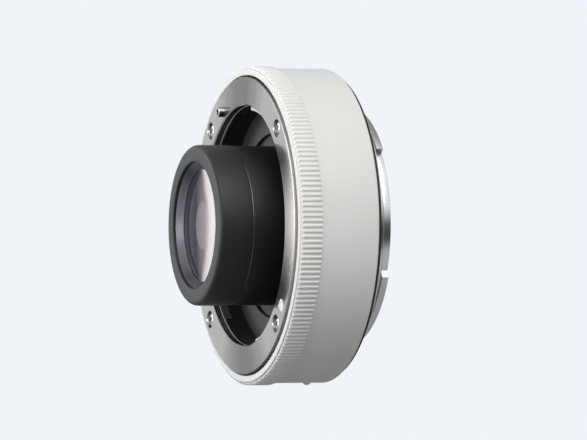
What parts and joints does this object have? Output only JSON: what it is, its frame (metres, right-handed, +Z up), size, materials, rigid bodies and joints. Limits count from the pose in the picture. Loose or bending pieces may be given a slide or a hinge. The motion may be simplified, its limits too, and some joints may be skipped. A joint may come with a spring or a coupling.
{
  "type": "camera teleconverter",
  "caption": "White teleconverter between two bayonet mounts, with a rubber-tipped lens barrel standing out of the front, a ridged grip ring and a sprung lock pin.",
  "frame": {"origin": "centre of the rear seat, the face that meets the camera", "axes": "+Y along the optical axis towards the camera, -Y towards the nose, +Z up, +X to the right seen from the front"},
  "size_m": [0.0622, 0.0324, 0.0623],
  "materials": {
    "white_paint": "fine satin white paint",
    "index_white": "smooth white enamel",
    "bright_steel": "polished, with fine turning marks",
    "screw_steel": "plated, with cross heads",
    "pin_steel": "ground",
    "spring_steel": "bare spring steel",
    "black_metal": "black anodised, satin",
    "black_plastic": "fine matt grain",
    "rubber": "soft matt",
    "coated_glass": "polished, with a faint coating tint",
    "contact_gold": "gold plated",
    "shim_brass": "rolled sheet",
    "board": "solder mask",
    "flex": "amber film"
  },
  "bodies": {
    "body": {"outer_barrel": "white_paint", "grip_ring": "white_paint", "front_index_dot": "index_white", "index_bead": "index_white", "front_mount_ring": "bright_steel", "rear_bayonet": "bright_steel", "front_mount_screws": "screw_steel", "chassis_screws": "screw_steel", "rear_bayonet_screws": "screw_steel", "rear_contact_screws": "screw_steel", "rear_baffle_screws": "screw_steel", "front_contact_screws": "screw_steel", "lens_barrel_screws": "screw_steel", "board_screws": "screw_steel", "mount_springs": "spring_steel", "contact_springs": "spring_steel", "lock_spring": "spring_steel", "front_chassis": "black_metal", "rear_chassis": "black_metal", "lens_barrel": "black_metal", "front_retainer": "black_metal", "inner_retainer": "black_metal", "lens_spacer": "black_metal", "rear_retainer": "black_metal", "cavity_floor": "black_plastic", "rear_baffle": "black_plastic", "front_contact_block": "black_plastic", "rear_contact_block": "black_plastic", "board_chips": "black_plastic", "nose_sleeve": "rubber", "rear_seal": "rubber", "barrel_o_ring": "rubber", "lens_1": "coated_glass", "lens_2": "coated_glass", "lens_3": "coated_glass", "lens_4": "coated_glass", "lens_5": "coated_glass", "lens_6": "coated_glass", "rear_contact_pads": "contact_gold", "mount_shim": "shim_brass", "main_board": "board", "front_flex": "flex", "rear_flex": "flex"},
    "release": {"release_slider": "white_paint", "release_link": "pin_steel"},
    "lock_pin": {"lock_pin": "pin_steel"},
    "contact_pins": {"contact_pins": "contact_gold"}
  },
  "joints": [
    {"name": "release_slide", "type": "slide", "parent": "body", "child": "release", "axis": [0, 1, 0], "range_m": [0, 0.0015], "stiffness_N_per_m": 400, "springref_m": -0.002},
    {"name": "lock_pin_slide", "type": "slide", "parent": "body", "child": "lock_pin", "axis": [0, 1, 0], "range_m": [0, 0.0015], "deforming": ["lock_spring"]},
    {"name": "contact_press", "type": "slide", "parent": "body", "child": "contact_pins", "axis": [0, 1, 0], "range_m": [0, 0.0006], "stiffness_N_per_m": 400, "springref_m": -0.001, "deforming": ["contact_springs"]}
  ],
  "couplings": [
    {"joint": "lock_pin_slide", "follows": "release_slide", "ratio": 1}
  ]
}
